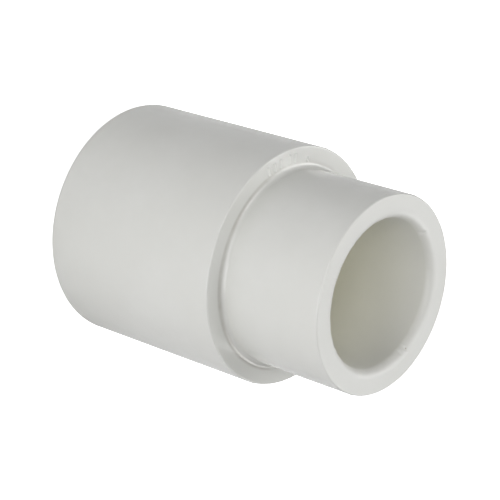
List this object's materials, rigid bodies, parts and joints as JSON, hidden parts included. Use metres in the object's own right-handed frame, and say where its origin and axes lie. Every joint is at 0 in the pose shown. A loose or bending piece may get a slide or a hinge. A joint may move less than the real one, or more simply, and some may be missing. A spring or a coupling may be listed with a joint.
{
  "type": "reducing coupling",
  "caption": "White rigid PVC reducing coupling: a straight, stepped pipe fitting with a large solvent-weld socket at one end and a smaller one at the other.",
  "frame": {"origin": "centre of the large socket's mouth face, which the part stands on", "axes": "+Z runs along the fitting's axis, from the large socket's mouth to the small socket's mouth; the moulded marks on the shoulder are on the -X side"},
  "size_m": [0.0436, 0.0436, 0.0604],
  "materials": {
    "white_pvc": "semi-gloss moulded white uPVC, faintly warm inside the bore"
  },
  "bodies": {
    "root": {"coupling_body": "white_pvc"}
  },
  "joints": []
}
